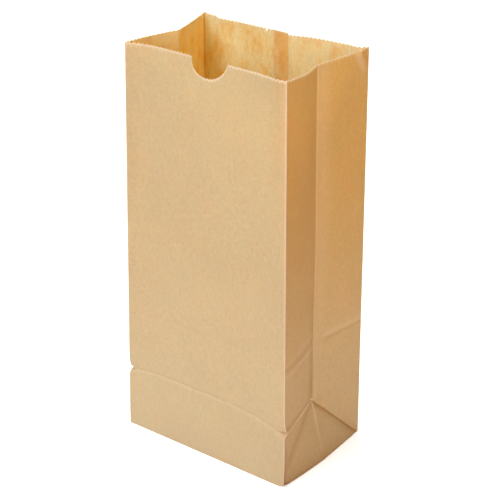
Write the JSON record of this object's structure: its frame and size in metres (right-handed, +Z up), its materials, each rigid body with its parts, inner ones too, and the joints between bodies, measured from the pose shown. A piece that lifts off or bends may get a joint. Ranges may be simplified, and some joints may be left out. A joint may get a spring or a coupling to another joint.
{
  "type": "paper bag",
  "caption": "Plain kraft paper bag standing open, with gusseted sides, a flat folded base, a zigzag-cut mouth and a half-round thumb notch.",
  "frame": {"origin": "centre of the base, on the surface that the bag stands on", "axes": "+X towards the right gusset, +Y from the front panel with the thumb notch to the back panel, +Z up out of the mouth"},
  "size_m": [0.163, 0.106, 0.34],
  "materials": {
    "kraft_paper": "matt unbleached kraft paper"
  },
  "bodies": {
    "root": {"bag": "kraft_paper"}
  },
  "joints": []
}
